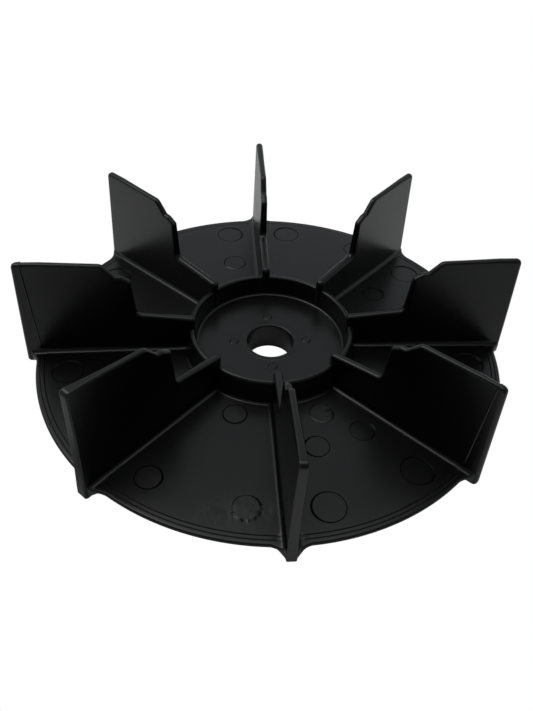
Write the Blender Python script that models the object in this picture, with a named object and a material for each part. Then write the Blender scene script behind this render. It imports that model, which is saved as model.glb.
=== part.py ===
"""Blower motor wheel: a round back plate with a recessed hub and straight radial blades.

Metres, +Z up along the shaft axis. The origin is the centre of the shaft bore at the
hub's lower face. Blade 1 points to -Y, and the others follow counter-clockwise seen
from above. The wheel is one plastic moulding. It is modelled as separate solids, split
where its features meet, with a SPLIT_GAP between them.
"""

import math

import bmesh
import bpy

MM = 0.001

# Driving dimensions of the wheel.
PLATE_RADIUS = 63.5 * MM
BORE_RADIUS = 6.35 * MM
BLADE_COUNT = 8
PLATE_BASE_Z = 5.4 * MM
BLADE_HEIGHT = 28.8 * MM
SPLIT_GAP = 0.3 * MM

# Back plate: flat underneath, its top drafted down towards the rim.
PLATE_THICK_AT_HUB = 1.7 * MM
PLATE_THICK_AT_RIM = 1.1 * MM
RIM_ROUNDING = 0.5 * MM
TIP_OVERHANG = 2.6 * MM
LUG_DEPTH = 2.0 * MM
LUG_HALF_WIDTH = 1.3 * MM
LUG_WALL_DRAFT = 0.25 * MM
LUG_FLARE = 2.8 * MM
LUG_INNER_RADIUS = PLATE_RADIUS - 3.0 * MM
LUG_RAMP = 1.0 * MM

# Hub: a collar around a sunk web, with a thick boss that holds the bore.
WEB_THICK = 2.5 * MM
COLLAR_HEIGHT = 8.55 * MM
COLLAR_FOOT_INNER = 20.65 * MM
COLLAR_FOOT_OUTER = 23.3 * MM
COLLAR_TOP_INNER = 21.0 * MM
COLLAR_TOP_OUTER = 22.5 * MM
COLLAR_TOP_ROUNDING = 0.45 * MM
BOSS_RADIUS = 13.65 * MM
BORE_CHAMFER = 0.5 * MM
BOSS_EDGE_CHAMFER = 0.6 * MM

# Blade: a tall vane, stepped down at its inner edge to a low rib.
VANE_INNER_RADIUS = 35.9 * MM
VANE_SHOULDER = (36.8 * MM, 23.8 * MM)
VANE_LEDGE_INNER = (39.1 * MM, 25.3 * MM)
VANE_LEDGE_OUTER = (40.7 * MM, 25.6 * MM)
VANE_TOP_INNER_RADIUS = 43.7 * MM
VANE_TOP_OUTER_RADIUS = 64.1 * MM
STEP_HEIGHT = 13.2 * MM
RIB_INNER_RADIUS = 20.95 * MM
RIB_INNER_HEIGHT = 11.4 * MM
BLADE_HALF_FOOT = 1.36 * MM
BLADE_HALF_TOP = 0.68 * MM

TURNED_STEPS = 96
ARC_STEPS = 4
COLUMNS_BETWEEN_LUGS = 9

PLASTIC_COLOUR = (0.02, 0.02, 0.021, 1.0)


def clear_scene():
    for obj in list(bpy.data.objects):
        bpy.data.objects.remove(obj, do_unlink=True)


def make_plastic(name, roughness):
    material = bpy.data.materials.new(name)
    material.use_nodes = True
    shader = material.node_tree.nodes["Principled BSDF"]
    shader.inputs["Base Color"].default_value = PLASTIC_COLOUR
    shader.inputs["Roughness"].default_value = roughness
    shader.inputs["Metallic"].default_value = 0.0
    return material


def mesh_from(builder, name, material, sharp_angle=math.radians(30)):
    bmesh.ops.recalc_face_normals(builder, faces=builder.faces)
    mesh = bpy.data.meshes.new(name)
    builder.to_mesh(mesh)
    builder.free()
    mesh.materials.append(material)
    mesh.shade_smooth()
    mesh.set_sharp_from_angle(angle=sharp_angle)
    return mesh


def place(name, mesh, parent, angle=0.0):
    obj = bpy.data.objects.new(name, mesh)
    bpy.context.collection.objects.link(obj)
    obj.parent = parent
    obj.rotation_euler.z = angle
    return obj


def rounded_outline(corners):
    """Points of a closed outline whose corners are (x, z, rounding radius)."""
    points = []
    for index, (x, z, radius) in enumerate(corners):
        if radius == 0:
            points.append((x, z))
            continue
        before = corners[index - 1]
        after = corners[(index + 1) % len(corners)]
        to_before = unit(before[0] - x, before[1] - z)
        to_after = unit(after[0] - x, after[1] - z)
        dot = to_before[0] * to_after[0] + to_before[1] * to_after[1]
        half_angle = math.acos(dot) / 2
        middle = unit(to_before[0] + to_after[0], to_before[1] + to_after[1])
        reach = radius / math.sin(half_angle)
        centre = (x + middle[0] * reach, z + middle[1] * reach)
        tangent = radius / math.tan(half_angle)
        start = (x + to_before[0] * tangent, z + to_before[1] * tangent)
        end = (x + to_after[0] * tangent, z + to_after[1] * tangent)
        points += arc_between(centre, start, end)
    return points


def unit(x, z):
    length = math.hypot(x, z)
    return x / length, z / length


def arc_between(centre, start, end):
    """Points of the shorter arc from start to end around centre."""
    radius = math.hypot(start[0] - centre[0], start[1] - centre[1])
    first = math.atan2(start[1] - centre[1], start[0] - centre[0])
    last = math.atan2(end[1] - centre[1], end[0] - centre[0])
    sweep = (last - first + math.pi) % (2 * math.pi) - math.pi
    points = []
    for step in range(ARC_STEPS + 1):
        angle = first + sweep * step / ARC_STEPS
        points.append((centre[0] + radius * math.cos(angle), centre[1] + radius * math.sin(angle)))
    return points


def turned_ring(name, corners, material, parent):
    """A ring turned about Z from a closed outline in the XZ plane."""
    builder = bmesh.new()
    profile = [builder.verts.new((x, 0, z)) for x, z in rounded_outline(corners)]
    edges = [builder.edges.new((profile[i - 1], profile[i])) for i in range(len(profile))]
    bmesh.ops.spin(
        builder,
        geom=profile + edges,
        cent=(0, 0, 0),
        axis=(0, 0, 1),
        angle=2 * math.pi,
        steps=TURNED_STEPS,
        use_merge=True,
    )
    return place(name, mesh_from(builder, name, material), parent)


def blade_half_thickness(z):
    """Half the blade's thickness at height z, drafted evenly from foot to top."""
    share = (z - PLATE_BASE_Z) / BLADE_HEIGHT
    return BLADE_HALF_FOOT + (BLADE_HALF_TOP - BLADE_HALF_FOOT) * share


def drafted_web(name, corners, material):
    """An upright XZ outline extruded across Y, and thinned towards its top."""
    builder = bmesh.new()
    outline = [builder.verts.new((x, 0, z)) for x, z in rounded_outline(corners)]
    near_face = builder.faces.new(outline)
    grown = bmesh.ops.extrude_face_region(builder, geom=[near_face])
    far_side = [item for item in grown["geom"] if isinstance(item, bmesh.types.BMVert)]
    for vert in outline:
        vert.co.y = -blade_half_thickness(vert.co.z)
    for vert in far_side:
        vert.co.y = blade_half_thickness(vert.co.z)
    return mesh_from(builder, name, material)


def plate_top_z(radius):
    """Height of the plate's drafted top face at a radius."""
    share = (radius - COLLAR_FOOT_OUTER) / (PLATE_RADIUS - COLLAR_FOOT_OUTER)
    thick = PLATE_THICK_AT_HUB + (PLATE_THICK_AT_RIM - PLATE_THICK_AT_HUB) * share
    return PLATE_BASE_Z + thick


def lug_offsets():
    """Distances across a lug where the plate's outline bends, from its middle outwards."""
    offsets = [0.0, LUG_HALF_WIDTH, LUG_HALF_WIDTH + LUG_WALL_DRAFT]
    for step in range(1, ARC_STEPS + 1):
        turn = math.pi / 2 * step / ARC_STEPS
        offsets.append(LUG_HALF_WIDTH + LUG_WALL_DRAFT + LUG_FLARE * (1 - math.cos(turn)))
    return offsets


def lug_reach(offset):
    """How far the plate's outline stands past its radius, at a distance across a lug."""
    if offset <= LUG_HALF_WIDTH + LUG_WALL_DRAFT / 2:
        return TIP_OVERHANG
    along = min((offset - LUG_HALF_WIDTH - LUG_WALL_DRAFT) / LUG_FLARE, 1.0)
    return TIP_OVERHANG * (1 - math.sqrt(1 - (1 - along) ** 2)) * 0.9


def plate_columns():
    """(angle, distance from the nearest lug's middle) of each column of the plate's mesh."""
    offsets = lug_offsets()
    sector = 2 * math.pi / BLADE_COUNT
    edge = math.asin(offsets[-1] / PLATE_RADIUS)
    columns = []
    for blade in range(BLADE_COUNT):
        middle = blade_angle(blade)
        for offset in reversed(offsets[1:]):
            columns.append((middle - math.asin(offset / PLATE_RADIUS), offset))
        for offset in offsets:
            columns.append((middle + math.asin(offset / PLATE_RADIUS), offset))
        for step in range(1, COLUMNS_BETWEEN_LUGS + 1):
            share = step / (COLUMNS_BETWEEN_LUGS + 1)
            columns.append((middle + edge + (sector - 2 * edge) * share, PLATE_RADIUS))
    return columns


def blade_angle(index):
    return -math.pi / 2 + 2 * math.pi * index / BLADE_COUNT


def back_plate(material, parent):
    """The plate: a ring whose outline flares out into a lug under each blade's tip."""
    inner = COLLAR_FOOT_OUTER + SPLIT_GAP
    builder = bmesh.new()
    columns = []
    for angle, offset in plate_columns():
        in_lug = offset <= LUG_HALF_WIDTH
        reach = lug_reach(offset)
        outer = PLATE_RADIUS + reach
        under = PLATE_BASE_Z - (LUG_DEPTH if in_lug else 0.0)
        rim_top = PLATE_BASE_Z + PLATE_THICK_AT_RIM
        column = [
            (inner, PLATE_BASE_Z),
            (inner, plate_top_z(inner)),
            (PLATE_RADIUS - RIM_ROUNDING, plate_top_z(PLATE_RADIUS - RIM_ROUNDING)),
            (outer - 0.3 * RIM_ROUNDING, rim_top - 0.3 * RIM_ROUNDING),
            (outer, rim_top - RIM_ROUNDING),
            (outer, under),
            (LUG_INNER_RADIUS, under),
            (LUG_INNER_RADIUS - LUG_RAMP, PLATE_BASE_Z),
        ]
        ring = []
        for radius, z in column:
            ring.append(builder.verts.new((radius * math.cos(angle), radius * math.sin(angle), z)))
        columns.append(ring)
    for left, right in zip(columns, columns[1:] + columns[:1]):
        for i in range(len(left)):
            builder.faces.new((left[i - 1], right[i - 1], right[i], left[i]))
    return place("back_plate", mesh_from(builder, "back_plate", material), parent)


def hub(parent):
    top = PLATE_BASE_Z + COLLAR_HEIGHT
    collar = [
        (COLLAR_FOOT_INNER, PLATE_BASE_Z, 0),
        (COLLAR_FOOT_OUTER, PLATE_BASE_Z, 0),
        (COLLAR_FOOT_OUTER, PLATE_BASE_Z + PLATE_THICK_AT_HUB, 0),
        (COLLAR_TOP_OUTER, top, COLLAR_TOP_ROUNDING),
        (COLLAR_TOP_INNER, top, COLLAR_TOP_ROUNDING),
        (COLLAR_FOOT_INNER, PLATE_BASE_Z + WEB_THICK, 0),
    ]
    turned_ring("hub_collar", collar, make_plastic("collar_plastic", 0.42), parent)
    web_top = PLATE_BASE_Z + WEB_THICK
    web = [
        (BOSS_RADIUS + SPLIT_GAP, PLATE_BASE_Z, 0),
        (COLLAR_FOOT_INNER - SPLIT_GAP, PLATE_BASE_Z, 0),
        (COLLAR_FOOT_INNER - SPLIT_GAP, web_top, 0),
        (BOSS_RADIUS + SPLIT_GAP, web_top, 0),
    ]
    turned_ring("hub_web", web, make_plastic("web_plastic", 0.45), parent)
    boss = [
        (BORE_RADIUS + BORE_CHAMFER, 0, 0),
        (BOSS_RADIUS - BOSS_EDGE_CHAMFER, 0, 0),
        (BOSS_RADIUS, BOSS_EDGE_CHAMFER, 0),
        (BOSS_RADIUS, web_top, 0),
        (BORE_RADIUS + BORE_CHAMFER, web_top, 0),
        (BORE_RADIUS, web_top - BORE_CHAMFER, 0),
        (BORE_RADIUS, BORE_CHAMFER, 0),
    ]
    turned_ring("shaft_boss", boss, make_plastic("boss_plastic", 0.45), parent)


def foot_z(radius):
    """Height where a blade's foot stands clear of the plate by the split gap."""
    return plate_top_z(min(radius, PLATE_RADIUS)) + SPLIT_GAP


def vanes(parent):
    """The tall outer part of each blade."""
    top = PLATE_BASE_Z + BLADE_HEIGHT
    tip_radius = PLATE_RADIUS + TIP_OVERHANG
    corners = [
        (VANE_INNER_RADIUS, foot_z(VANE_INNER_RADIUS), 0),
        (PLATE_RADIUS, foot_z(PLATE_RADIUS), 0),
        (tip_radius, foot_z(PLATE_RADIUS), 0),
        (VANE_TOP_OUTER_RADIUS, top, 1.0 * MM),
        (VANE_TOP_INNER_RADIUS, top, 1.0 * MM),
        (VANE_LEDGE_OUTER[0], PLATE_BASE_Z + VANE_LEDGE_OUTER[1], 0.3 * MM),
        (VANE_LEDGE_INNER[0], PLATE_BASE_Z + VANE_LEDGE_INNER[1], 0.8 * MM),
        (VANE_SHOULDER[0], PLATE_BASE_Z + VANE_SHOULDER[1], 0.8 * MM),
        (VANE_INNER_RADIUS, PLATE_BASE_Z + STEP_HEIGHT, 0),
    ]
    mesh = drafted_web("vane", corners, make_plastic("vane_plastic", 0.38))
    for index in range(BLADE_COUNT):
        place(f"vane_{index + 1}", mesh, parent, blade_angle(index))


def ribs(parent):
    """The low inner part of each blade, which runs over the collar's top."""
    outer = VANE_INNER_RADIUS - SPLIT_GAP
    collar_top = PLATE_BASE_Z + COLLAR_HEIGHT
    clear_of_collar = SPLIT_GAP * 1.2
    corners = [
        (COLLAR_FOOT_OUTER + clear_of_collar, foot_z(COLLAR_FOOT_OUTER), 0),
        (outer, foot_z(COLLAR_FOOT_OUTER), 0),
        (outer, PLATE_BASE_Z + STEP_HEIGHT, 0),
        (RIB_INNER_RADIUS, PLATE_BASE_Z + RIB_INNER_HEIGHT, 0.4 * MM),
        (RIB_INNER_RADIUS, collar_top + SPLIT_GAP, 0),
        (COLLAR_TOP_OUTER + clear_of_collar, collar_top + SPLIT_GAP, 0),
    ]
    mesh = drafted_web("rib", corners, make_plastic("rib_plastic", 0.4))
    for index in range(BLADE_COUNT):
        place(f"rib_{index + 1}", mesh, parent, blade_angle(index))


def main():
    clear_scene()
    axis = bpy.data.objects.new("shaft_axis", None)
    bpy.context.collection.objects.link(axis)
    back_plate(make_plastic("plate_plastic", 0.48), axis)
    hub(axis)
    vanes(axis)
    ribs(axis)


main()
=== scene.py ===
"""Looks of the blower motor wheel: one satin black moulding on a plain pale floor.

Every piece lies in the CAD frame, in metres. Sizes that the CAD solids hold are read
from their boxes; the finer ones, such as fillets and moulding marks, are named below.
"""

import math

import bmesh
import bpy
from mathutils import Matrix, Vector, geometry


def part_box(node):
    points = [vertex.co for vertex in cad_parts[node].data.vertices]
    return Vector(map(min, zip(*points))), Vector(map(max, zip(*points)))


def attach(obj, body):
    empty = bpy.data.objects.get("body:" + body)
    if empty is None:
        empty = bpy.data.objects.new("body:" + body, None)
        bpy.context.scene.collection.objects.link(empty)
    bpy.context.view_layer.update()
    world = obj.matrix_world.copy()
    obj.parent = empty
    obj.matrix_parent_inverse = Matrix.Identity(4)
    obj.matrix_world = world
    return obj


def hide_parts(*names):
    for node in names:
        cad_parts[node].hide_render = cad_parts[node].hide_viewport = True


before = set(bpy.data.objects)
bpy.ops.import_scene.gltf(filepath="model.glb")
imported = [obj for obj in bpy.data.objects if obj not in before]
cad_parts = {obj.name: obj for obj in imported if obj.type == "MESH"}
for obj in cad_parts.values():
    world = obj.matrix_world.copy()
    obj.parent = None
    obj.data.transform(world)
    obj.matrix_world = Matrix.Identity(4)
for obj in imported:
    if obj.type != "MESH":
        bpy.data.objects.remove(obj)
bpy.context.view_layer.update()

MM = 0.001
BLADE_COUNT = 8
SECTOR = 2 * math.pi / BLADE_COUNT

# Sizes that the frame holds.
BASE_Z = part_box("hub_web")[0].z
WEB_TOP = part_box("hub_web")[1].z
COLLAR_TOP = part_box("hub_collar")[1].z
COLLAR_FOOT_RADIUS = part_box("hub_collar")[1].x
BOSS_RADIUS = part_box("shaft_boss")[1].x
BOSS_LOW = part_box("shaft_boss")[0].z
TIP_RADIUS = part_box("vane_3")[1].x
STEP_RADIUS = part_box("vane_3")[0].x
BLADE_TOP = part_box("vane_3")[1].z
LUG_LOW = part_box("back_plate")[0].z

# How deep the hidden edges of the ribs, vanes and collar lie inside their neighbours.
HIDDEN_DEPTH = 0.3 * MM

# Back plate: its face, the rim, and the lug that stands out under each blade.
PLATE_RADIUS = TIP_RADIUS - 2.6 * MM
PLATE_INNER_RADIUS = COLLAR_FOOT_RADIUS - 0.5 * MM
PLATE_THICK_AT_HUB = 1.7 * MM
PLATE_THICK_AT_RIM = 0.95 * MM
PLATE_DROP = 0.1 * MM
RIM_ROUNDING = 0.6 * MM
RIM_REACH = 0.2 * MM
RIM_LOW_ROUNDING = 0.12 * MM
RIM_DROP_START = PLATE_RADIUS - 3.2 * MM
RIM_DROP = 0.14 * MM
RIM_STEPS = 26
LUG_HALF_WIDTH = 1.15 * MM
LUG_CORNER = 0.35 * MM
LUG_SHORTER = 0.15 * MM
LUG_FLARE = 3.6 * MM
LUG_FLARE_CURVE = 1.6
LUG_FLARE_BUNCHING = 1.3
LUG_SIDE_SLOPE = 1.8 * MM
LUG_LOW_ROUNDING = 0.6 * MM
LUG_DROP = 0.35 * MM
PAD_INNER_RADIUS = PLATE_RADIUS - 3 * MM
PAD_SLOPE = 1 * MM
PANEL_RINGS = 20

# Everything within this radius is inside the plate's outline, without a closer look.
SURELY_INSIDE_RADIUS = PLATE_RADIUS - 0.5 * MM

# Fine lines in the plate's face: one inside the rim, and a shallower one on its lip.
LINE_HALF_WIDTH = 0.16 * MM
LINE_DEPTH = 0.15 * MM
RIM_LINE_RADIUS = PLATE_RADIUS - 2.1 * MM
RIM_LIP_RADIUS = PLATE_RADIUS - 1.05 * MM
LIP_SHARE = 0.75

# Hub.
BORE_RADIUS = 6.35 * MM
BORE_ROUNDING = 0.5 * MM
BOSS_CHAMFER = 0.6 * MM
BOSS_MARK_RADIUS = 10.1 * MM
BOSS_MARK_DIAMETER = 2.3 * MM
RING_LINE_RADIUS = 7.9 * MM
RING_LINE_SHARE = 1 / 3
WEB_OUTER_RADIUS = 20.3 * MM

# Collar: its foot hides the edges of the web and of the plate.
FLOOR_FILLET = 0.7 * MM
COLLAR_FILLET = 0.8 * MM
COLLAR_ROUNDING = 0.72 * MM
COLLAR_FOOT_INNER_RADIUS = 20.65 * MM
COLLAR_TOP_INNER_RADIUS = 21.0 * MM
COLLAR_TOP_OUTER_RADIUS = 22.5 * MM
COLLAR_FOOT_SINK = 0.03 * MM

# Blades: thickness, with a thicker strip along the outer end.
HALF_FOOT = 1.3 * MM
HALF_TOP = 0.84 * MM
STRIP_HALF_FOOT = 1.25 * MM
STRIP_HALF_TOP = 1.02 * MM
THICKENING_LENGTH = 12 * MM

# Two blades have a fine raised line, where that strip begins.
CREASED_BLADES = (2, 7)
CREASE_FOOT_RADIUS = 61.9 * MM
CREASE_TOP_RADIUS = 62.8 * MM
CREASE_HALF_WIDTH = 0.17 * MM
CREASE_HEIGHT = 0.15 * MM
CREASE_FOOT_GAP = 0.1 * MM

# Rounding of the blades' edges, and the fillet at their foot.
RIB_ROUNDING = 0.92 * MM
TOP_ROUNDING = 0.74 * MM
SOFT_END_ROUNDING = 0.9 * MM
CRISP_END_ROUNDING = 0.4 * MM
CRISP_ENDED_BLADES = (1, 8)
ROUNDING_CHANGE_LENGTH = 4 * MM
FOOT_FILLET = 1.2 * MM
FOOT_LINE_START = 22 * MM
FOOT_LINE_END = TIP_RADIUS - 0.3 * MM

# Outline of a blade, from the rib's inner end out to the nose over the lug.
RIB_INNER_RADIUS = 20.55 * MM
RIB_INNER_TOP = BASE_Z + 11.4 * MM
RIB_CORNER = 1.2 * MM
STEP_TOP = BASE_Z + 13.2 * MM
STEP_FILLET = 1.3 * MM
JOINT_RADIUS = STEP_RADIUS - STEP_FILLET
TOP_RISE = 0.62 * MM
TIP_TOP_RADIUS = TIP_RADIUS - 2 * MM
TIP_CORNER_SHIFT = 0.3 * MM
TIP_CORNER = 1.3 * MM
NOSE_DROP = 0.75 * MM
NOSE_CORNER = 1 * MM
NOSE_INNER_RADIUS = PLATE_RADIUS - 0.6 * MM

# Corners of the notched slope from the step up to the top, as (radius, z, rounding).
NOTCH = (
    (36.75 * MM, BASE_Z + 23.9 * MM, 0.95 * MM),
    (39.1 * MM, BASE_Z + 25.35 * MM, 0.9 * MM),
    (40.5 * MM, BASE_Z + 25.5 * MM, 0.12 * MM),
    (43.6 * MM, BLADE_TOP + 0.1 * MM, 2.2 * MM),
)

# Sideways lean of a blade's outer top corner, by blade number.
LEAN = {8: -1.95 * MM, 1: 0.55 * MM, 7: -0.4 * MM, 3: 0.36 * MM}
LEAN_START_Z = 0.6 * STEP_TOP
LEAN_CURVE_UP = 1.5
LEAN_CURVE_OUT = 1.3

# Extra length of a blade's outer end at its foot and at its top, by blade number.
GROWTH = {
    2: (0.3 * MM, 0.6 * MM),
    3: (0.1 * MM, 0.3 * MM),
    4: (-0.2 * MM, -0.5 * MM),
    7: (0.75 * MM, 1.1 * MM),
    8: (0.4 * MM, 0),
}
GROWTH_CURVE = 14

# How much wider than the others a blade's outer end and its lug are, by blade number.
SWELL = {8: 1.22}

# Spacing of the points in a blade's faces and along its edges.
FACE_STEP = 2.2 * MM


def blade_angle(index):
    """Direction of a blade from the axis, counter-clockwise from the front one."""
    return -math.pi / 2 + SECTOR * index


def polar(radius, angle, z):
    """The point at a radius and an angle about the axis, and at a height."""
    return Vector((radius * math.cos(angle), radius * math.sin(angle), z))


def between(value, start, end, low, high):
    """Straight line from low at start to high at end, flat outside them."""
    share = min(max((value - start) / (end - start), 0.0), 1.0)
    return low + (high - low) * share


def plate_top(radius):
    """Height of the plate's top, drafted from the collar down to the rim."""
    share = (radius - COLLAR_FOOT_RADIUS) / (PLATE_RADIUS - COLLAR_FOOT_RADIUS)
    return BASE_Z + PLATE_THICK_AT_HUB + (PLATE_THICK_AT_RIM - PLATE_THICK_AT_HUB) * share


# ---------------------------------------------------------------- mesh helpers

WELD_DISTANCE = 0.0001 * MM
SHARP_ANGLE = math.radians(24)
CDT_TOLERANCE = 1e-8


def lofted(builder, rows, closed):
    """Quads between rows of equal length; closed also joins each row's two ends."""
    made = [[builder.verts.new(point) for point in row] for row in rows]
    count = len(rows[0])
    for lower, upper in zip(made, made[1:]):
        for i in range(count if closed else count - 1):
            j = (i + 1) % count
            builder.faces.new((lower[i], lower[j], upper[j], upper[i]))


def triangles(loops, lines, scattered):
    """Fine triangles that keep closed loops and open lines as edges."""
    points = []
    edges = []
    for chain, closed in [(loop, True) for loop in loops] + [(line, False) for line in lines]:
        start = len(points)
        count = len(chain)
        points += [Vector(point) for point in chain]
        for i in range(count if closed else count - 1):
            edges.append((start + i, start + (i + 1) % count))
    points += [Vector(point) for point in scattered]
    flat, _, faces, _, _, _ = geometry.delaunay_2d_cdt(points, edges, [], 0, CDT_TOLERANCE)
    return flat, faces


def sheet(builder, flat, faces, lift, inside):
    """Lays flat triangles into the mesh, each point through lift."""
    made = {}
    for face in faces:
        middle = sum((flat[i] for i in face), Vector((0, 0))) / len(face)
        if not inside(middle):
            continue
        for i in face:
            if i not in made:
                made[i] = builder.verts.new(lift(flat[i]))
        builder.faces.new([made[i] for i in face])


def finished(builder, name):
    """The built mesh as an object: welded, smooth, and sharp only across true edges."""
    bmesh.ops.remove_doubles(builder, verts=builder.verts, dist=WELD_DISTANCE)
    bmesh.ops.recalc_face_normals(builder, faces=builder.faces)
    mesh = bpy.data.meshes.new(name)
    builder.to_mesh(mesh)
    builder.free()
    mesh.shade_smooth()
    mesh.set_sharp_from_angle(angle=SHARP_ANGLE)
    piece = bpy.data.objects.new(name, mesh)
    bpy.context.scene.collection.objects.link(piece)
    weighted = piece.modifiers.new("even_shading", "WEIGHTED_NORMAL")
    weighted.keep_sharp = True
    return piece


def stands_for(piece, node, material):
    """Gives the piece its plastic, and puts it in the place of a CAD node."""
    piece.data.materials.append(material)
    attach(piece, "root")
    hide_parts(node)


def arc(centre, radius, start_degrees, end_degrees, steps):
    """Points of a flat arc, both ends included."""
    x, y = centre
    points = []
    for step in range(steps + 1):
        angle = math.radians(start_degrees + (end_degrees - start_degrees) * step / steps)
        points.append((x + radius * math.cos(angle), y + radius * math.sin(angle)))
    return points


def circle(centre, radius, steps):
    """Points of a closed circle, with the first one not repeated."""
    return arc(centre, radius, 0, 360 - 360 / steps, steps - 1)


def rounded(corners, steps=5):
    """Points of an open outline whose corners are (x, z, rounding radius).

    A corner with no rounding is one point.
    """
    points = []
    for index, (x, z, radius) in enumerate(corners):
        if radius == 0:
            points.append((x, z))
            continue
        here = Vector((x, z))
        back = (Vector(corners[index - 1][:2]) - here).normalized()
        ahead = (Vector(corners[index + 1][:2]) - here).normalized()
        half = back.angle(ahead) / 2
        centre = here + (back + ahead).normalized() * (radius / math.sin(half))
        start = here + back * (radius / math.tan(half)) - centre
        end = here + ahead * (radius / math.tan(half)) - centre
        for step in range(steps + 1):
            spoke = start.lerp(end, step / steps).normalized() * radius
            points.append(tuple(centre + spoke))
    return points


# ---------------------------------------------------------------- vanes and ribs

def end_radius(z):
    """The blade's outer end, drafted inwards from the lug's foot to the top."""
    return between(z, LUG_LOW, BLADE_TOP, TIP_RADIUS, TIP_TOP_RADIUS)


def crease_radius(z):
    """Where the outer strip begins, which leans outwards as it rises."""
    return between(z, BASE_Z, BLADE_TOP, CREASE_FOOT_RADIUS, CREASE_TOP_RADIUS)


def body_half(z):
    """Half the thickness of a blade away from its outer end, drafted."""
    return between(z, BASE_Z, BLADE_TOP, HALF_FOOT, HALF_TOP)


def half_thickness(radius, z, number):
    """Half the blade's thickness, drafted, and thicker near the outer end.

    A creased blade thickens in one step behind a fine raised line, and the others evenly.
    """
    swell = SWELL.get(number, 1)
    body = body_half(z)
    strip = between(z, BASE_Z, BLADE_TOP, STRIP_HALF_FOOT, STRIP_HALF_TOP) * swell
    crease = crease_radius(z)
    if number not in CREASED_BLADES:
        return between(radius, crease - THICKENING_LENGTH, end_radius(z), body, strip)
    crest = max(body, strip) + CREASE_HEIGHT
    past = (radius - crease) / CREASE_HALF_WIDTH
    if past <= 0:
        return body + (crest - body) * max(1 + past, 0)
    return crest + (strip - crest) * min(past, 1)


def end_rounding(number):
    return CRISP_END_ROUNDING if number in CRISP_ENDED_BLADES else SOFT_END_ROUNDING


def edge_rounding(radius, z, number):
    """Rounding of a blade's edge: broad on the low rib, finer on the top."""
    start = CREASE_TOP_RADIUS - ROUNDING_CHANGE_LENGTH
    if radius > start:
        return between(radius, start, CREASE_TOP_RADIUS, TOP_ROUNDING, end_rounding(number))
    return between(z, STEP_TOP, BLADE_TOP, RIB_ROUNDING, TOP_ROUNDING)


def rib_top(radius):
    """Height of the rib's top, which rises from the collar to the vane's step."""
    share = (radius - RIB_INNER_RADIUS) / (STEP_RADIUS - RIB_INNER_RADIUS)
    return RIB_INNER_TOP + (STEP_TOP - RIB_INNER_TOP) * share


def vane_edge():
    """The vane's showing edge: over the step, along the top and down the end to the nose."""
    top = BLADE_TOP + TOP_RISE
    low = LUG_LOW - NOSE_DROP
    return rounded([
        (JOINT_RADIUS, rib_top(JOINT_RADIUS), 0),
        (STEP_RADIUS, STEP_TOP, STEP_FILLET),
        *NOTCH,
        (CREASE_TOP_RADIUS - ROUNDING_CHANGE_LENGTH, top, 0),
        (CREASE_TOP_RADIUS - CREASE_HALF_WIDTH, top, 0),
        (CREASE_TOP_RADIUS, top, 0),
        (CREASE_TOP_RADIUS + CREASE_HALF_WIDTH, top, 0),
        (TIP_TOP_RADIUS + TIP_CORNER_SHIFT, top, TIP_CORNER),
        (TIP_RADIUS, low, NOSE_CORNER),
        (NOSE_INNER_RADIUS, low, 0),
    ])


def rib_edge():
    """The rib's showing edge: up its inner end and along the top to the vane."""
    return rounded([
        (RIB_INNER_RADIUS, WEB_TOP - HIDDEN_DEPTH, 0),
        (RIB_INNER_RADIUS, RIB_INNER_TOP, RIB_CORNER),
        (JOINT_RADIUS, rib_top(JOINT_RADIUS), 0),
    ])


def inward(edge):
    """Unit directions into the blade from each point of its showing edge."""
    directions = []
    for index in range(len(edge)):
        before = Vector(edge[max(index - 1, 0)])
        after = Vector(edge[min(index + 1, len(edge) - 1)])
        along = (after - before).normalized()
        directions.append(Vector((along.y, -along.x)))
    return directions


def with_steps(chain):
    """The same chain of points, with its long straight runs cut into short ones."""
    points = [chain[0]]
    for start, end in zip(chain, chain[1:]):
        run = Vector(end) - Vector(start)
        count = max(round(run.length / FACE_STEP), 1)
        points += [tuple(Vector(start) + run * step / count) for step in range(1, count + 1)]
    return points


def face_grid(polygon):
    """Points spread over a blade's side face, so that it can bend smoothly."""
    points = []
    columns = int((TIP_RADIUS - RIB_INNER_RADIUS) / FACE_STEP)
    rows = int((BLADE_TOP - BASE_Z) / FACE_STEP)
    for column in range(1, columns):
        for row in range(1, rows + 1):
            offset = FACE_STEP / 2 * (row % 2)
            x = RIB_INNER_RADIUS + column * FACE_STEP + offset
            point = Vector((x, BASE_Z + row * FACE_STEP))
            if in_polygon(point, polygon):
                points.append(point)
    return points


def edge_row(core, direction, rounding, number):
    """Points over the rounded edge from one side face to the other."""
    flat_half = half_thickness(core.x, core.y, number) - rounding
    row = []
    for side in (-1, 1):
        for degrees in range(0, 91, 15):
            angle = math.radians(degrees if side > 0 else 90 - degrees)
            spot = core - direction * rounding * math.cos(angle)
            half = flat_half + rounding * math.sin(angle)
            row.append(Vector((spot.x, side * half, spot.y)))
    return row


def slab(builder, edge, hidden, lines, number):
    """A blade part: two drafted faces, a rounded edge between them, closed where hidden."""
    rows = []
    cores = []
    edge = with_steps(edge)
    for point, direction in zip(edge, inward(edge)):
        rounding = edge_rounding(*point, number)
        core = Vector(point) + direction * rounding
        cores.append(tuple(core))
        rows.append(edge_row(core, direction, rounding, number))
    lofted(builder, rows, closed=False)
    for row in (rows[0], rows[-1]):
        builder.faces.new([builder.verts.new(point) for point in row])
    polygon = [Vector(point) for point in cores + hidden]
    flat, faces = triangles([polygon], lines, face_grid(polygon))

    def side_face(side):
        def lift(point):
            half = half_thickness(point.x, point.y, number)
            return Vector((point.x, side * half, point.y))
        return lift

    for side in (-1, 1):
        sheet(builder, flat, faces, side_face(side), lambda p: in_polygon(p, polygon))
    back = [Vector(cores[-1])] + [Vector(point) for point in hidden] + [Vector(cores[0])]
    lofted(builder, [[side_face(side)(point) for point in back] for side in (-1, 1)], closed=False)


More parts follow.
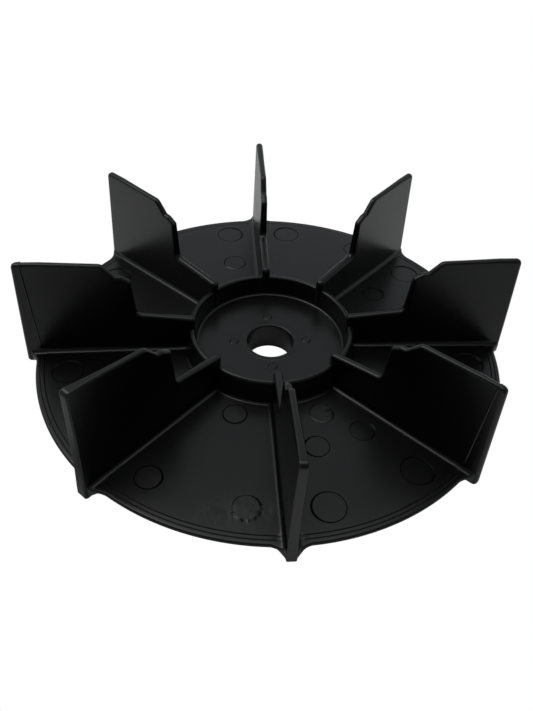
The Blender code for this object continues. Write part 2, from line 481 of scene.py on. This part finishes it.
def in_polygon(point, polygon):
    """Whether a flat point lies inside a closed outline."""
    inside = False
    for index, here in enumerate(polygon):
        last = polygon[index - 1]
        if (here.y > point.y) != (last.y > point.y):
            crossing = last.x + (here.x - last.x) * (point.y - last.y) / (here.y - last.y)
            if point.x < crossing:
                inside = not inside
    return inside


def warp(builder, number):
    """Bends the vane a little out of true, as the moulding has cooled."""
    foot_growth, top_growth = GROWTH.get(number, (0, 0))
    for vert in builder.verts:
        height = between(vert.co.z, LEAN_START_Z, BLADE_TOP, 0, 1)
        reach = between(vert.co.x, STEP_RADIUS, TIP_TOP_RADIUS, 0, 1)
        growth = between(vert.co.z, BASE_Z, BLADE_TOP, foot_growth, top_growth)
        bend = height ** LEAN_CURVE_UP * reach ** LEAN_CURVE_OUT
        vert.co.y += LEAN.get(number, 0) * bend
        vert.co.x += growth * reach ** GROWTH_CURVE


def crease_lines(number, foot):
    """Lines along the foot, crest and far side of the raised line, on a creased blade."""
    if number not in CREASED_BLADES:
        return []
    top = BLADE_TOP + TOP_RISE - end_rounding(number)
    lines = []
    for shift in (-CREASE_HALF_WIDTH, 0, CREASE_HALF_WIDTH):
        ends = [(crease_radius(z) + shift, z) for z in (foot + CREASE_FOOT_GAP, top)]
        lines.append(with_steps(ends))
    return lines


def vane(index, material):
    """The tall outer part of a blade."""
    number = index + 1
    foot = BASE_Z + HIDDEN_DEPTH
    hidden = [(NOSE_INNER_RADIUS, foot), (JOINT_RADIUS, foot)]
    builder = bmesh.new()
    slab(builder, vane_edge(), hidden, crease_lines(number, foot), number)
    warp(builder, number)
    turn_to_blade(builder, index)
    stands_for(finished(builder, f"vane_skin_{number}"), f"vane_{number}", material)


def rib(index, material):
    """The low inner part of a blade, which runs over the collar."""
    number = index + 1
    hidden = [(JOINT_RADIUS, WEB_TOP - HIDDEN_DEPTH)]
    builder = bmesh.new()
    slab(builder, rib_edge(), hidden, [], number)
    turn_to_blade(builder, index)
    stands_for(finished(builder, f"rib_skin_{number}"), f"rib_{number}", material)


def turn_to_blade(builder, index):
    """Turns a blade part from the X axis to its own place around the hub."""
    turn = Matrix.Rotation(blade_angle(index), 4, "Z")
    bmesh.ops.transform(builder, matrix=turn, verts=builder.verts)


# ---------------------------------------------------------------- hub

TURNED_STEPS = 192


def turned(builder, profile, closed=True):
    """Turns a (radius, z) outline about Z."""
    rows = []
    for step in range(TURNED_STEPS + 1):
        angle = 2 * math.pi * (step % TURNED_STEPS) / TURNED_STEPS
        rows.append([polar(radius, angle, z) for radius, z in profile])
    lofted(builder, rows, closed)


def collar(material):
    """The raised ring, with its foot fillets onto the plate and the sunk floor.

    Under the fillets the ring runs just inside the plate and the web.
    """
    fillet_end = COLLAR_FOOT_RADIUS + COLLAR_FILLET
    face = plate_top(fillet_end)
    profile = [
        (WEB_OUTER_RADIUS, BASE_Z),
        (PLATE_INNER_RADIUS, BASE_Z),
        (PLATE_INNER_RADIUS, face - HIDDEN_DEPTH),
        (fillet_end, face - HIDDEN_DEPTH),
        (fillet_end, face - COLLAR_FOOT_SINK),
    ]
    centre = (fillet_end, face - COLLAR_FOOT_SINK + COLLAR_FILLET)
    profile += arc(centre, COLLAR_FILLET, 262, 187, 6)
    rounding_z = COLLAR_TOP - COLLAR_ROUNDING
    centre = (COLLAR_TOP_OUTER_RADIUS - COLLAR_ROUNDING, rounding_z)
    profile += arc(centre, COLLAR_ROUNDING, 7, 90, 5)
    centre = (COLLAR_TOP_INNER_RADIUS + COLLAR_ROUNDING, rounding_z)
    profile += arc(centre, COLLAR_ROUNDING, 90, 177, 5)
    fillet_start = COLLAR_FOOT_INNER_RADIUS - FLOOR_FILLET
    profile += arc((fillet_start, WEB_TOP + FLOOR_FILLET), FLOOR_FILLET, -3, -88, 5)
    profile.append((fillet_start, WEB_TOP - HIDDEN_DEPTH))
    profile.append((WEB_OUTER_RADIUS, WEB_TOP - HIDDEN_DEPTH))
    builder = bmesh.new()
    turned(builder, profile)
    stands_for(finished(builder, "collar_skin"), "hub_collar", material)


def web(material):
    """The sunk floor between the boss and the collar."""
    profile = [
        (BOSS_RADIUS, BASE_Z),
        (WEB_OUTER_RADIUS, BASE_Z),
        (WEB_OUTER_RADIUS, WEB_TOP),
        (BOSS_RADIUS, WEB_TOP),
    ]
    builder = bmesh.new()
    turned(builder, profile)
    stands_for(finished(builder, "web_skin"), "hub_web", material)


def boss_marks():
    """Four small ejector marks, each only a line, over the middle of the boss's wall."""
    marks = []
    for quarter in range(4):
        marks.append(Mark(BOSS_MARK_RADIUS, 90 * quarter, BOSS_MARK_DIAMETER, 0, 0.2 * MM, 270))
    return marks


def boss(material):
    """The boss: its top carries a ring line and four small ejector marks."""
    inner = BORE_RADIUS + BORE_ROUNDING
    profile = [
        (BOSS_RADIUS, WEB_TOP),
        (BOSS_RADIUS, BOSS_LOW + BOSS_CHAMFER),
        (BOSS_RADIUS - BOSS_CHAMFER, BOSS_LOW),
        (BORE_RADIUS, BOSS_LOW),
    ]
    profile += arc((inner, WEB_TOP - BORE_ROUNDING), BORE_ROUNDING, 180, 90, 6)
    marks = boss_marks()
    builder = bmesh.new()
    turned(builder, profile, closed=False)
    loops = [circle((0, 0), BOSS_RADIUS, TURNED_STEPS), circle((0, 0), inner, TURNED_STEPS)]
    for shift in (-LINE_HALF_WIDTH, 0, LINE_HALF_WIDTH):
        loops.append(circle((0, 0), RING_LINE_RADIUS + shift, 96))
    for mark in marks:
        loops += mark.loops()

    def lift(point):
        line = groove(point.length, RING_LINE_RADIUS) * RING_LINE_SHARE
        prints = sum(mark.depth(point) for mark in marks)
        return Vector((point.x, point.y, WEB_TOP + line + prints))

    flat, faces = triangles(loops, [], [])
    sheet(builder, flat, faces, lift, lambda p: inner < p.length < BOSS_RADIUS)
    stands_for(finished(builder, "boss_skin"), "shaft_boss", material)


# ---------------------------------------------------------------- back plate

def groove(distance, centre):
    """Depth of a fine V line, as a negative height."""
    return -LINE_DEPTH * max(1 - abs(distance - centre) / LINE_HALF_WIDTH, 0)


class Mark:
    """An ejector pin's print: a fine round line with a disc slightly below the face.

    The disc leans, so that its step is deepest on the side that low_degrees points to.
    """

    SHALLOW_SHARE = 0.45
    NARROW_SHARE = 0.65
    WIDENING = 1.3

    def __init__(self, radius, degrees_from_blade_1, diameter, sink, line, low_degrees):
        self.centre = polar(radius, math.radians(degrees_from_blade_1) - math.pi / 2, 0).xy
        self.radius = diameter / 2
        self.sink = sink
        self.line = line
        self.low = polar(1, math.radians(low_degrees), 0).xy

    def slope(self, direction):
        """1 on the deepest side and 0 on the opposite one."""
        return 0.5 + 0.5 * direction.dot(self.low)

    def half_width(self, direction):
        """The line is fine on the shallow side and broad on the deepest one."""
        return LINE_HALF_WIDTH * (self.NARROW_SHARE + self.WIDENING * self.slope(direction) ** 2)

    def loops(self):
        """The outer edge, the bottom and the inner edge of the line."""
        loops = []
        for share in (1, 0, -1):
            loop = []
            for spoke in circle((0, 0), 1, 72):
                spoke = Vector(spoke)
                loop.append(self.centre + spoke * (self.radius + share * self.half_width(spoke)))
            loops.append(loop)
        return loops

    def depth(self, point):
        """How far the mark takes the face down at a point, as a negative height."""
        off = point - self.centre
        if off.length > self.radius + 2 * LINE_HALF_WIDTH:
            return 0
        direction = off.normalized()
        inner = -self.sink * self.slope(off / self.radius) if off.length < self.radius else 0
        line = self.line * between(self.slope(direction), 0, 1, self.SHALLOW_SHARE, 1)
        share = max(1 - abs(off.length - self.radius) / self.half_width(direction), 0)
        return inner * (1 - share) - line * share


# Ejector marks near the rim, one on each side of every blade.
RIM_MARK_RADIUS = 55.3 * MM
RIM_MARK_DIAMETER = 8.1 * MM
RIM_MARK_DEGREES = 9.8
RIM_MARK_SINK = 0.12 * MM
RIM_MARK_LINE = 0.42 * MM
RIM_MARK_LOW_DEGREES = {-1: -40, 1: 200}

# The two smaller ones, both on the front-left panel: line depth by (blade index, side).
SMALL_MARK_RADIUS = 54.7 * MM
SMALL_MARK_DIAMETER = 6.5 * MM
SMALL_MARK_LOW_DEGREES = -40
SMALL_MARK_LINES = {(0, -1): 0.25 * MM, (7, 1): 0.55 * MM}

# Single marks further in, in mm and degrees:
# (radius, degrees on from blade 1, diameter, degrees of the deepest side, line's depth).
PANEL_MARK_SINK = 0.13 * MM
PANEL_MARKS = (
    (28.4, 337.6, 6.1, 270, 0.5),
    (28.9, 22.8, 6.1, 300, 0.2),
    (38.3, 13.2, 6.2, 200, 0.5),
    (38.6, 32.3, 6.3, 20, 0.3),
    (39.6, 122.9, 6.2, 80, 0.5),
    (39.2, 192.4, 6.7, 250, 0.3),
)


def rim_mark(blade, side):
    """The ejector mark near the rim, on one side of a blade."""
    at_blade = 360 / BLADE_COUNT * blade
    degrees = at_blade + RIM_MARK_DEGREES * side
    if (blade, side) in SMALL_MARK_LINES:
        line = SMALL_MARK_LINES[blade, side]
        low = SMALL_MARK_LOW_DEGREES
        return Mark(SMALL_MARK_RADIUS, degrees, SMALL_MARK_DIAMETER, RIM_MARK_SINK, line, low)
    low = at_blade + RIM_MARK_LOW_DEGREES[side]
    return Mark(RIM_MARK_RADIUS, degrees, RIM_MARK_DIAMETER, RIM_MARK_SINK, RIM_MARK_LINE, low)


def plate_marks():
    """Two marks beside every blade, near the rim, and a few singles further in."""
    marks = []
    for blade in range(BLADE_COUNT):
        marks += [rim_mark(blade, side) for side in (-1, 1)]
    for radius, degrees, size, low, line in PANEL_MARKS:
        marks.append(Mark(radius * MM, degrees, size * MM, PANEL_MARK_SINK, line * MM, low))
    return marks


# The flash is a ragged strip, along part of a mark's line.
FLASH_STEPS = 60
FLASH_START_DEGREES = -200
FLASH_SPAN_DEGREES = 270
FLASH_REACH = 0.5 * MM
FLASH_LEAST_REACH = 0.1 * MM
FLASH_RISE = 0.28 * MM
FLASH_EDGE_RISE = 0.03 * MM
FLASH_OVERLAP = 0.05 * MM
FLASH_TAPER = 0.6


def flash(builder, mark):
    """Ragged scraps of thin plastic that squeezed out around one ejector pin."""
    rows = []
    for step in range(FLASH_STEPS + 1):
        degrees = FLASH_START_DEGREES + FLASH_SPAN_DEGREES * step / FLASH_STEPS
        spoke = polar(1, math.radians(degrees), 0).xy
        ragged = abs(math.sin(2.3 * step) + 0.7 * math.sin(5.1 * step))
        taper = math.sin(math.pi * step / FLASH_STEPS) ** FLASH_TAPER
        inner = mark.radius - FLASH_OVERLAP
        outer = mark.radius + FLASH_LEAST_REACH + FLASH_REACH * ragged * taper
        row = []
        for radius, rise in (
            (inner, -FLASH_OVERLAP),
            (outer, -FLASH_OVERLAP),
            (outer, FLASH_EDGE_RISE),
            (inner, FLASH_RISE * (0.3 + 0.5 * ragged)),
        ):
            spot = mark.centre + spoke * radius
            row.append((spot.x, spot.y, plate_top(spot.length) + rise))
        rows.append(row)
    lofted(builder, rows, closed=True)
    for row in (rows[0], rows[-1]):
        builder.faces.new([builder.verts.new(point) for point in row])


def lug_offsets():
    """Distances across a lug at which the outline bends, from its middle outwards."""
    offsets = [0.0, LUG_HALF_WIDTH / 2]
    for degrees in (0, 30, 60, 90):
        offsets.append(LUG_HALF_WIDTH - LUG_CORNER * (1 - math.sin(math.radians(degrees))))
    flare_start = LUG_HALF_WIDTH + 0.02 * MM
    steps = 11
    for step in range(1, steps + 1):
        offsets.append(flare_start + LUG_FLARE * (step / steps) ** LUG_FLARE_BUNCHING)
    return offsets


def lug_reach(offset):
    """How far the outline stands past the plate's radius, across a lug."""
    overhang = TIP_RADIUS - PLATE_RADIUS - LUG_SHORTER
    start = LUG_HALF_WIDTH - LUG_CORNER
    if offset <= start:
        return overhang
    if offset <= LUG_HALF_WIDTH:
        into = (offset - start) / LUG_CORNER
        return overhang - LUG_CORNER * (1 - math.sqrt(max(1 - into * into, 0.0)))
    left = 1 - min((offset - LUG_HALF_WIDTH) / LUG_FLARE, 1.0)
    return RIM_REACH + (overhang - LUG_CORNER - RIM_REACH) * left ** LUG_FLARE_CURVE


def lug_turn(blade, offset):
    """Angle from a lug's middle to where its outline has come out by offset."""
    return math.asin(offset * SWELL.get(blade + 1, 1) / (PLATE_RADIUS + lug_reach(offset)))


def plate_columns():
    """(angle, distance from the nearest lug's middle) of each column of the rim.

    Between lugs the distance is only given as far, since the outline is round there.
    """
    offsets = lug_offsets()
    columns = []
    for blade in range(BLADE_COUNT):
        middle = blade_angle(blade)
        columns += [(middle - lug_turn(blade, offset), offset) for offset in reversed(offsets[1:])]
        columns += [(middle + lug_turn(blade, offset), offset) for offset in offsets]
        start = middle + lug_turn(blade, offsets[-1])
        end = middle + SECTOR - lug_turn((blade + 1) % BLADE_COUNT, offsets[-1])
        for step in range(1, RIM_STEPS):
            columns.append((start + (end - start) * step / RIM_STEPS, PLATE_RADIUS))
    return columns


def across_blade(point):
    """Distance from the middle plane of the nearest blade."""
    angle = math.atan2(point.y, point.x) - blade_angle(0)
    off = (angle + SECTOR / 2) % SECTOR - SECTOR / 2
    return abs(point.length * math.sin(off))


def panel_height(point, marks):
    """Height of the plate's upper face, with its fillets, lines and marks."""
    radius = point.length
    away = across_blade(point) - body_half(plate_top(radius) + FOOT_FILLET)
    lines = groove(radius, RIM_LINE_RADIUS) + groove(radius, RIM_LIP_RADIUS) * LIP_SHARE
    height = plate_top(radius) + lines * between(away, FOOT_FILLET / 2, 2 * FOOT_FILLET, 0, 1)
    height -= between(radius, RIM_DROP_START, PLATE_RADIUS, 0, RIM_DROP)
    if -1e-6 < away < FOOT_FILLET:
        height += FOOT_FILLET - math.sqrt(FOOT_FILLET ** 2 - (FOOT_FILLET - max(away, 0)) ** 2)
    for mark in marks:
        height += mark.depth(point)
    return height


def fillet_lines():
    """Lines along both sides of every blade, where its foot fillet bends."""
    lines = []
    for blade in range(BLADE_COUNT):
        along = polar(1, blade_angle(blade), 0).xy
        across = Vector((-along.y, along.x))
        for side in (-1, 1):
            for degrees in range(0, 91, 15):
                off = FOOT_FILLET * (1 - math.sin(math.radians(degrees)))
                lines.append([
                    along * radius + across * side * (half + off)
                    for radius, half in foot_halves()
                ])
    return lines


def foot_halves(steps=8):
    """(radius, half the blade's thickness at the top of its foot fillet), from the hub out."""
    halves = []
    for step in range(steps + 1):
        radius = FOOT_LINE_START + (FOOT_LINE_END - FOOT_LINE_START) * step / steps
        halves.append((radius, body_half(plate_top(radius) + FOOT_FILLET)))
    return halves


def panel_loops(marks):
    """Circles that bend the plate's upper face: its inner edge, fine lines and marks."""
    loops = [circle((0, 0), PLATE_INNER_RADIUS, TURNED_STEPS)]
    for radius in (RIM_LINE_RADIUS, RIM_LIP_RADIUS):
        for shift in (-LINE_HALF_WIDTH, 0, LINE_HALF_WIDTH):
            loops.append(circle((0, 0), radius + shift, 360))
    for mark in marks:
        loops += mark.loops()
    return loops


def panel_points():
    """Rings of points over the plate's face, closer together further out."""
    width = RIM_LINE_RADIUS - PLATE_INNER_RADIUS
    points = []
    for ring in range(1, PANEL_RINGS):
        radius = PLATE_INNER_RADIUS + width * ring / PANEL_RINGS
        points += circle((0, 0), radius, 24 + 8 * ring)
    return points


def plate(material):
    """The disc: a worked upper face, a rounded rim with lugs, and a plain underside."""
    marks = plate_marks()
    columns = plate_columns()
    outline = []
    for angle, offset in columns:
        outline.append(polar(PLATE_RADIUS + lug_reach(offset) - RIM_ROUNDING, angle, 0).xy)
    flat, faces = triangles([outline] + panel_loops(marks), fillet_lines(), panel_points())

    def lift(point):
        return Vector((point.x, point.y, panel_height(point, marks)))

    def showing(point):
        if point.length < PLATE_INNER_RADIUS:
            return False
        return point.length < SURELY_INSIDE_RADIUS or in_polygon(point, outline)

    builder = bmesh.new()
    sheet(builder, flat, faces, lift, showing)
    flash(builder, marks[0])
    rows = [rim_column(angle, offset, marks) for angle, offset in columns]
    rows.append(rows[0])
    lofted(builder, rows, closed=False)
    stands_for(finished(builder, "plate_skin"), "back_plate", material)


def rim_column(angle, offset, marks):
    """Points from the upper face over the rim and under the plate to the hub."""
    outer = PLATE_RADIUS + lug_reach(offset)
    start = polar(outer - RIM_ROUNDING, angle, 0).xy
    top = panel_height(start, marks)
    lug_share = between(offset, LUG_HALF_WIDTH, LUG_HALF_WIDTH + LUG_SIDE_SLOPE, 1, 0)
    under = between(lug_share, 0, 1, BASE_Z - PLATE_DROP, LUG_LOW - LUG_DROP)
    low = between(lug_share, 0, 1, RIM_LOW_ROUNDING, LUG_LOW_ROUNDING)
    points = []
    for degrees in (90, 72, 54, 36, 18, 0):
        turn = math.radians(degrees)
        points.append((
            outer - RIM_ROUNDING * (1 - math.cos(turn)),
            top - RIM_ROUNDING * (1 - math.sin(turn)),
        ))
    for degrees in (0, 22, 45, 68, 90):
        turn = math.radians(degrees)
        points.append((outer - low * (1 - math.cos(turn)), under + low * (1 - math.sin(turn))))
    points.append((PAD_INNER_RADIUS, under))
    points.append((PAD_INNER_RADIUS - PAD_SLOPE, BASE_Z))
    points.append((PLATE_INNER_RADIUS, BASE_Z))
    points.append((PLATE_INNER_RADIUS, plate_top(PLATE_INNER_RADIUS)))
    return [polar(radius, angle, z) for radius, z in points]


# ---------------------------------------------------------------- material

PLASTIC_DARKER = (0.0004, 0.0005, 0.0006)
PLASTIC_LIGHTER = (0.0009, 0.001, 0.0011)
WORN_COLOUR = (0.003, 0.003, 0.0031)
DUST_COLOUR = (0.05, 0.05, 0.048)
SPECK_SIZE = 0.035
LEAST_ROUGHNESS = 0.21

# The rubbed spot by the flashed mark is wider on X than on Y, and its streaks run along Y.
SCUFF_CENTRE = (-10.5 * MM, -55 * MM, BASE_Z + PLATE_THICK_AT_RIM)
SCUFF_SHAPE = (0.6, 1.25, 1)
SCUFF_FADE = (2 * MM, 7.5 * MM)
SCUFF_COLOUR = (0.034, 0.034, 0.033)
STREAK_SHAPE = (2.2, 0.9, 1)


def black_plastic():
    """Satin black moulded plastic: near black, so its look is in its sheen and fine grain."""
    material = bpy.data.materials.new("satin_black_plastic")
    material.use_nodes = True
    tree = material.node_tree
    shader = tree.nodes["Principled BSDF"]
    shader.inputs["IOR"].default_value = 1.5
    place = tree.nodes.new("ShaderNodeTexCoord").outputs["Object"]
    flow = noise(tree, place, scale=70, detail=4)
    mottle = noise(tree, place, scale=1300, detail=3)
    grain = noise(tree, place, scale=5200, detail=2)
    dust = specks(tree, place, scale=260)

    tint = colour_ramp(tree, flow, (0.35, 0.65), (PLASTIC_DARKER, PLASTIC_LIGHTER))
    worn = mixed_colour(tree, edge_share(tree), tint, WORN_COLOUR)
    dusty = mixed_colour(tree, dust, worn, DUST_COLOUR)
    scuffed = mixed_colour(tree, scuff_share(tree, place), dusty, SCUFF_COLOUR)
    tree.links.new(scuffed, shader.inputs["Base Color"])

    roughness = LEAST_ROUGHNESS
    for pattern, amount in ((flow, 0.10), (mottle, 0.08), (dust, 0.3)):
        share = arithmetic(tree, "MULTIPLY", pattern, amount)
        roughness = arithmetic(tree, "ADD", share, roughness)
    tree.links.new(roughness, shader.inputs["Roughness"])

    normal = None
    for pattern, height in ((flow, 0.03 * MM), (mottle, 0.004 * MM), (grain, 0.0012 * MM)):
        normal = bump(tree, pattern, height, normal)
    tree.links.new(normal, shader.inputs["Normal"])
    return material


def noise(tree, place, scale, detail):
    node = tree.nodes.new("ShaderNodeTexNoise")
    node.inputs["Scale"].default_value = scale
    node.inputs["Detail"].default_value = detail
    tree.links.new(place, node.inputs["Vector"])
    return node.outputs["Fac"]


def specks(tree, place, scale):
    """Dust: 1 on a speck at the middle of a cell, where the surface cuts through it."""
    cells = tree.nodes.new("ShaderNodeTexVoronoi")
    cells.inputs["Scale"].default_value = scale
    tree.links.new(place, cells.inputs["Vector"])
    return arithmetic(tree, "LESS_THAN", cells.outputs["Distance"], SPECK_SIZE)


def scuff_share(tree, place):
    """Pale streaks where the flashed ejector mark has been rubbed."""
    centre = [along * share for along, share in zip(SCUFF_CENTRE, SCUFF_SHAPE)]
    away = distance_from(tree, stretched(tree, place, SCUFF_SHAPE), centre)
    near = map_range(tree, away, SCUFF_FADE, (1, 0))
    streaks = noise(tree, stretched(tree, place, STREAK_SHAPE), scale=300, detail=5)
    streaks = map_range(tree, streaks, (0.42, 0.7), (0, 1))
    return arithmetic(tree, "MULTIPLY", near, streaks)


def stretched(tree, place, scale):
    node = tree.nodes.new("ShaderNodeMapping")
    node.inputs["Scale"].default_value = scale
    tree.links.new(place, node.inputs["Vector"])
    return node.outputs["Vector"]


def distance_from(tree, place, centre):
    node = tree.nodes.new("ShaderNodeVectorMath")
    node.operation = "DISTANCE"
    node.inputs[1].default_value = centre
    tree.links.new(place, node.inputs[0])
    return node.outputs["Value"]


def edge_share(tree):
    """1 on convex edges, where handling has polished the plastic."""
    point = tree.nodes.new("ShaderNodeNewGeometry").outputs["Pointiness"]
    return map_range(tree, point, (0.53, 0.6), (0, 1))


def map_range(tree, value, start, end):
    """Straight map of value from the start pair onto the end pair, held outside it."""
    node = tree.nodes.new("ShaderNodeMapRange")
    node.inputs["From Min"].default_value, node.inputs["From Max"].default_value = start
    node.inputs["To Min"].default_value, node.inputs["To Max"].default_value = end
    tree.links.new(value, node.inputs["Value"])
    return node.outputs["Result"]


def colour_ramp(tree, factor, stops, colours):
    node = tree.nodes.new("ShaderNodeValToRGB")
    for element, stop, colour in zip(node.color_ramp.elements, stops, colours):
        element.position = stop
        element.color = (*colour, 1)
    tree.links.new(factor, node.inputs["Fac"])
    return node.outputs["Color"]


def mixed_colour(tree, factor, first, second):
    node = tree.nodes.new("ShaderNodeMix")
    node.data_type = "RGBA"
    tree.links.new(factor, node.inputs["Factor"])
    tree.links.new(first, node.inputs["A"])
    node.inputs["B"].default_value = (*second, 1)
    return node.outputs["Result"]


def arithmetic(tree, operation, first, second):
    """One maths node on a socket and a second socket or plain number."""
    node = tree.nodes.new("ShaderNodeMath")
    node.operation = operation
    tree.links.new(first, node.inputs[0])
    if isinstance(second, (int, float)):
        node.inputs[1].default_value = second
    else:
        tree.links.new(second, node.inputs[1])
    return node.outputs[0]


def bump(tree, height, distance, below):
    """A bump of the given full height, laid over the one below."""
    node = tree.nodes.new("ShaderNodeBump")
    node.inputs["Strength"].default_value = 1
    node.inputs["Distance"].default_value = distance
    tree.links.new(height, node.inputs["Height"])
    if below:
        tree.links.new(below, node.inputs["Normal"])
    return node.outputs["Normal"]


# ---------------------------------------------------------------- stage

# Reaches are in metres from the axis.
STAGE_REACH = 4
FLOOR_Z = -0.1 * MM
TABLE_Z = -0.2 * MM
TABLE_REACH = 2
TABLE_COLOUR = (0.8, 0.8, 0.8)

# The table is open under the wheel, apart from a disc under the bore.
TABLE_HOLE_RADIUS = 56 * MM
TABLE_DISC_RADII = (0.1 * MM, BORE_RADIUS + 2 * MM)


def staged(builder, name, colour, glow):
    """A piece of the stage in plain matt paper, which may give its own light."""
    mesh = bpy.data.meshes.new(name)
    builder.to_mesh(mesh)
    builder.free()
    item = bpy.data.objects.new(name, mesh)
    bpy.context.scene.collection.objects.link(item)
    material = bpy.data.materials.new(name + "_paper")
    material.use_nodes = True
    shader = material.node_tree.nodes["Principled BSDF"]
    shader.inputs["Base Color"].default_value = (*colour, 1)
    shader.inputs["Roughness"].default_value = 1
    shader.inputs["Specular IOR Level"].default_value = 0
    shader.inputs["Emission Color"].default_value = (1, 1, 1, 1)
    shader.inputs["Emission Strength"].default_value = glow
    mesh.materials.append(material)
    return item


def for_camera_only(item):
    item.visible_diffuse = False
    item.visible_glossy = False
    item.visible_transmission = False
    item.visible_shadow = False


def floor():
    """A white floor that the camera sees and the wheel doesn't reflect."""
    builder = bmesh.new()
    signs = ((-1, -1), (1, -1), (1, 1), (-1, 1))
    corners = [(x * STAGE_REACH, y * STAGE_REACH, FLOOR_Z) for x, y in signs]
    builder.faces.new([builder.verts.new(corner) for corner in corners])
    white = staged(builder, "floor", (0, 0, 0), 1.0)
    for_camera_only(white)
    clear_from_below(white.data.materials[0].node_tree)


def clear_from_below(tree):
    """Lets the floor's underside be seen through, so that the wheel's underside shows."""
    clear = tree.nodes.new("ShaderNodeBsdfTransparent")
    mix = tree.nodes.new("ShaderNodeMixShader")
    behind = tree.nodes.new("ShaderNodeNewGeometry").outputs["Backfacing"]
    tree.links.new(behind, mix.inputs["Fac"])
    tree.links.new(tree.nodes["Principled BSDF"].outputs["BSDF"], mix.inputs[1])
    tree.links.new(clear.outputs["BSDF"], mix.inputs[2])
    tree.links.new(mix.outputs["Shader"], tree.nodes["Material Output"].inputs["Surface"])


def backdrop():
    """A white room behind the floor, also only for the camera."""
    builder = bmesh.new()
    bmesh.ops.create_uvsphere(builder, u_segments=48, v_segments=24, radius=STAGE_REACH)
    for_camera_only(staged(builder, "backdrop", (0, 0, 0), 1.0))


def table():
    """The table that the wheel stands on, which only shows in the wheel's gloss; its colour
    carries painted shade and painted light.
    """
    builder = bmesh.new()
    for radii in (TABLE_DISC_RADII, (TABLE_HOLE_RADIUS, TABLE_REACH)):
        edges = [circle((0, 0), radius, 64) for radius in radii]
        rows = [[(x, y, TABLE_Z) for x, y in edge] for edge in edges]
        lofted(builder, rows, closed=True)
    item = staged(builder, "table", TABLE_COLOUR, 0)
    item.visible_camera = False
    tree = item.data.materials[0].node_tree
    # The table's colour is painted shade and light, not the table's own tone.
    tree.links.new(painted_table_shade(tree), tree.nodes["Principled BSDF"].inputs["Base Color"])


def painted_table_shade(tree):
    """Painted shade and light in the table's colour: painted shade makes it dimmer in front than
    behind, a painted pool of light makes it paler by the front lug, and a painted shadow makes it
    dark by the lug at its left.
    """
    place = tree.nodes.new("ShaderNodeTexCoord").outputs["Object"]
    split = tree.nodes.new("ShaderNodeSeparateXYZ")
    tree.links.new(place, split.inputs["Vector"])
    # Painted shade: darker in front than behind.
    shade = map_range(tree, split.outputs["Y"], (-0.03, 0.05), (0.63, 1.0))
    from_front_lug = distance_from(tree, place, (0.005, -0.1, 0))
    # Painted light: a paler pool by the front lug.
    painted_light_patch = map_range(tree, from_front_lug, (0.02, 0.07), (0.25, 0))
    from_left_lug = distance_from(tree, place, (-0.063, -0.05, 0))
    # Painted shadow by the lug at the front left.
    painted_shadow = map_range(tree, from_left_lug, (0.004, 0.015), (-0.5, 0))
    shade = arithmetic(tree, "ADD", shade, painted_light_patch)
    return arithmetic(tree, "ADD", shade, painted_shadow)


def softbox(name, place, aim, size, radiance, shows_in_gloss=True):
    """A square lamp of equal brightness all over, which the camera doesn't see."""
    data = bpy.data.lights.new(name, "AREA")
    data.size = size
    data.energy = radiance * math.pi * size * size
    light = bpy.data.objects.new(name, data)
    light.location = place
    light.rotation_euler = (Vector(place) - Vector(aim)).to_track_quat("Z", "Y").to_euler()
    light.visible_camera = False
    light.visible_glossy = shows_in_gloss
    bpy.context.scene.collection.objects.link(light)


def room():
    """A pale room, a little dimmer overhead, and dim on the camera's side."""
    world = bpy.data.worlds.new("studio")
    world.use_nodes = True
    tree = world.node_tree
    background = tree.nodes["Background"]
    background.inputs["Color"].default_value = (0.96, 1, 1.03, 1)
    place = tree.nodes.new("ShaderNodeTexCoord").outputs["Generated"]
    split = tree.nodes.new("ShaderNodeSeparateXYZ")
    tree.links.new(place, split.inputs["Vector"])
    wall = map_range(tree, split.outputs["Z"], (0.64, 0.8), (0.42, 0.31))
    near_share = map_range(tree, split.outputs["Y"], (-0.4, 0.3), (0.3, 1))
    strength = arithmetic(tree, "MULTIPLY", wall, near_share)
    tree.links.new(strength, background.inputs["Strength"])
    bpy.context.scene.world = world


def lights():
    """A softbox at the left, a broad one overhead, and a lamp for the table behind."""
    softbox("left_softbox", (-0.33, 0.1, 0.56), (0, 0, 0), 0.36, 2.0)
    softbox("overhead_softbox", (0, 0, 0.8), (0, 0, 0), 0.6, 0.8)
    softbox("table_light", (0.25, 0.35, 0.25), (0.1, 0.13, 0), 0.2, 3.2, shows_in_gloss=False)


def camera():
    """Looks down on the wheel from the front, close by and a little rolled."""
    azimuth = math.radians(-6.2126)
    elevation = math.radians(43.5253)
    roll = math.radians(3.2436)
    distance = 195.26 * MM
    aim = Vector((-1.2, -3.48, 5.4)) * MM
    back = Vector((
        math.sin(azimuth) * math.cos(elevation),
        -math.cos(azimuth) * math.cos(elevation),
        math.sin(elevation),
    ))
    right = Vector((0, 0, 1)).cross(back).normalized()
    up = back.cross(right)
    turned_right = right * math.cos(roll) + up * math.sin(roll)
    turned_up = up * math.cos(roll) - right * math.sin(roll)
    data = bpy.data.cameras.new("camera")
    data.sensor_width = 36
    data.lens = 35.53
    data.clip_start = 0.01
    eye = bpy.data.objects.new("camera", data)
    eye.matrix_world = Matrix((turned_right, turned_up, back)).transposed().to_4x4()
    eye.location = aim + back * distance
    bpy.context.scene.collection.objects.link(eye)
    bpy.context.scene.camera = eye


camera()
room()
lights()
floor()
backdrop()
table()
bpy.context.scene.view_settings.view_transform = "Standard"
plastic = black_plastic()
plate(plastic)
collar(plastic)
web(plastic)
boss(plastic)
for blade in range(BLADE_COUNT):
    vane(blade, plastic)
    rib(blade, plastic)
